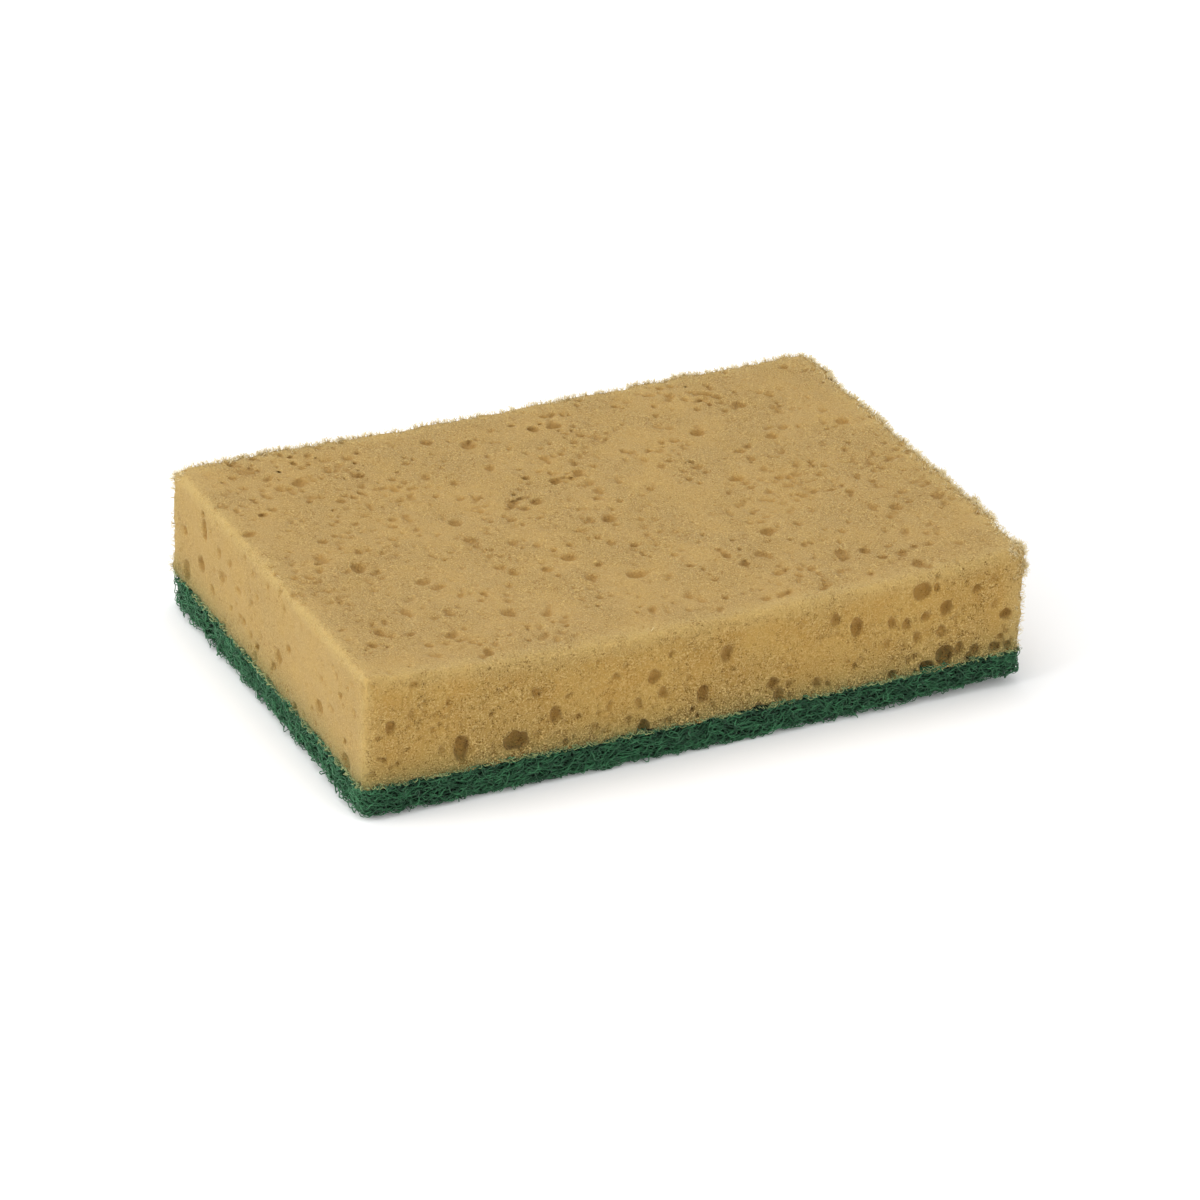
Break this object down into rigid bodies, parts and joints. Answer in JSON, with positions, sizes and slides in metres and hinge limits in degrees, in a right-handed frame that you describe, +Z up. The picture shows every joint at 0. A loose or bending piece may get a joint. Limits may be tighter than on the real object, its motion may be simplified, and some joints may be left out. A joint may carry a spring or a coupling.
{
  "type": "cleaning sponge",
  "caption": "Rectangular household cleaning sponge: an open-cell natural foam block bonded on a thin dark green non-woven scouring pad.",
  "frame": {"origin": "middle of the scouring pad's resting face, at the bottom of the part", "axes": "+X along the length of the sponge, +Y from the front to the back, +Z up through the foam"},
  "size_m": [0.15, 0.1, 0.032],
  "materials": {
    "foam": "open-cell foam, dull, with large torn pores",
    "scouring_web": "lofty non-woven web of dark green fibres"
  },
  "bodies": {
    "root": {"sponge_block": "foam", "scouring_pad": "scouring_web"}
  },
  "joints": []
}
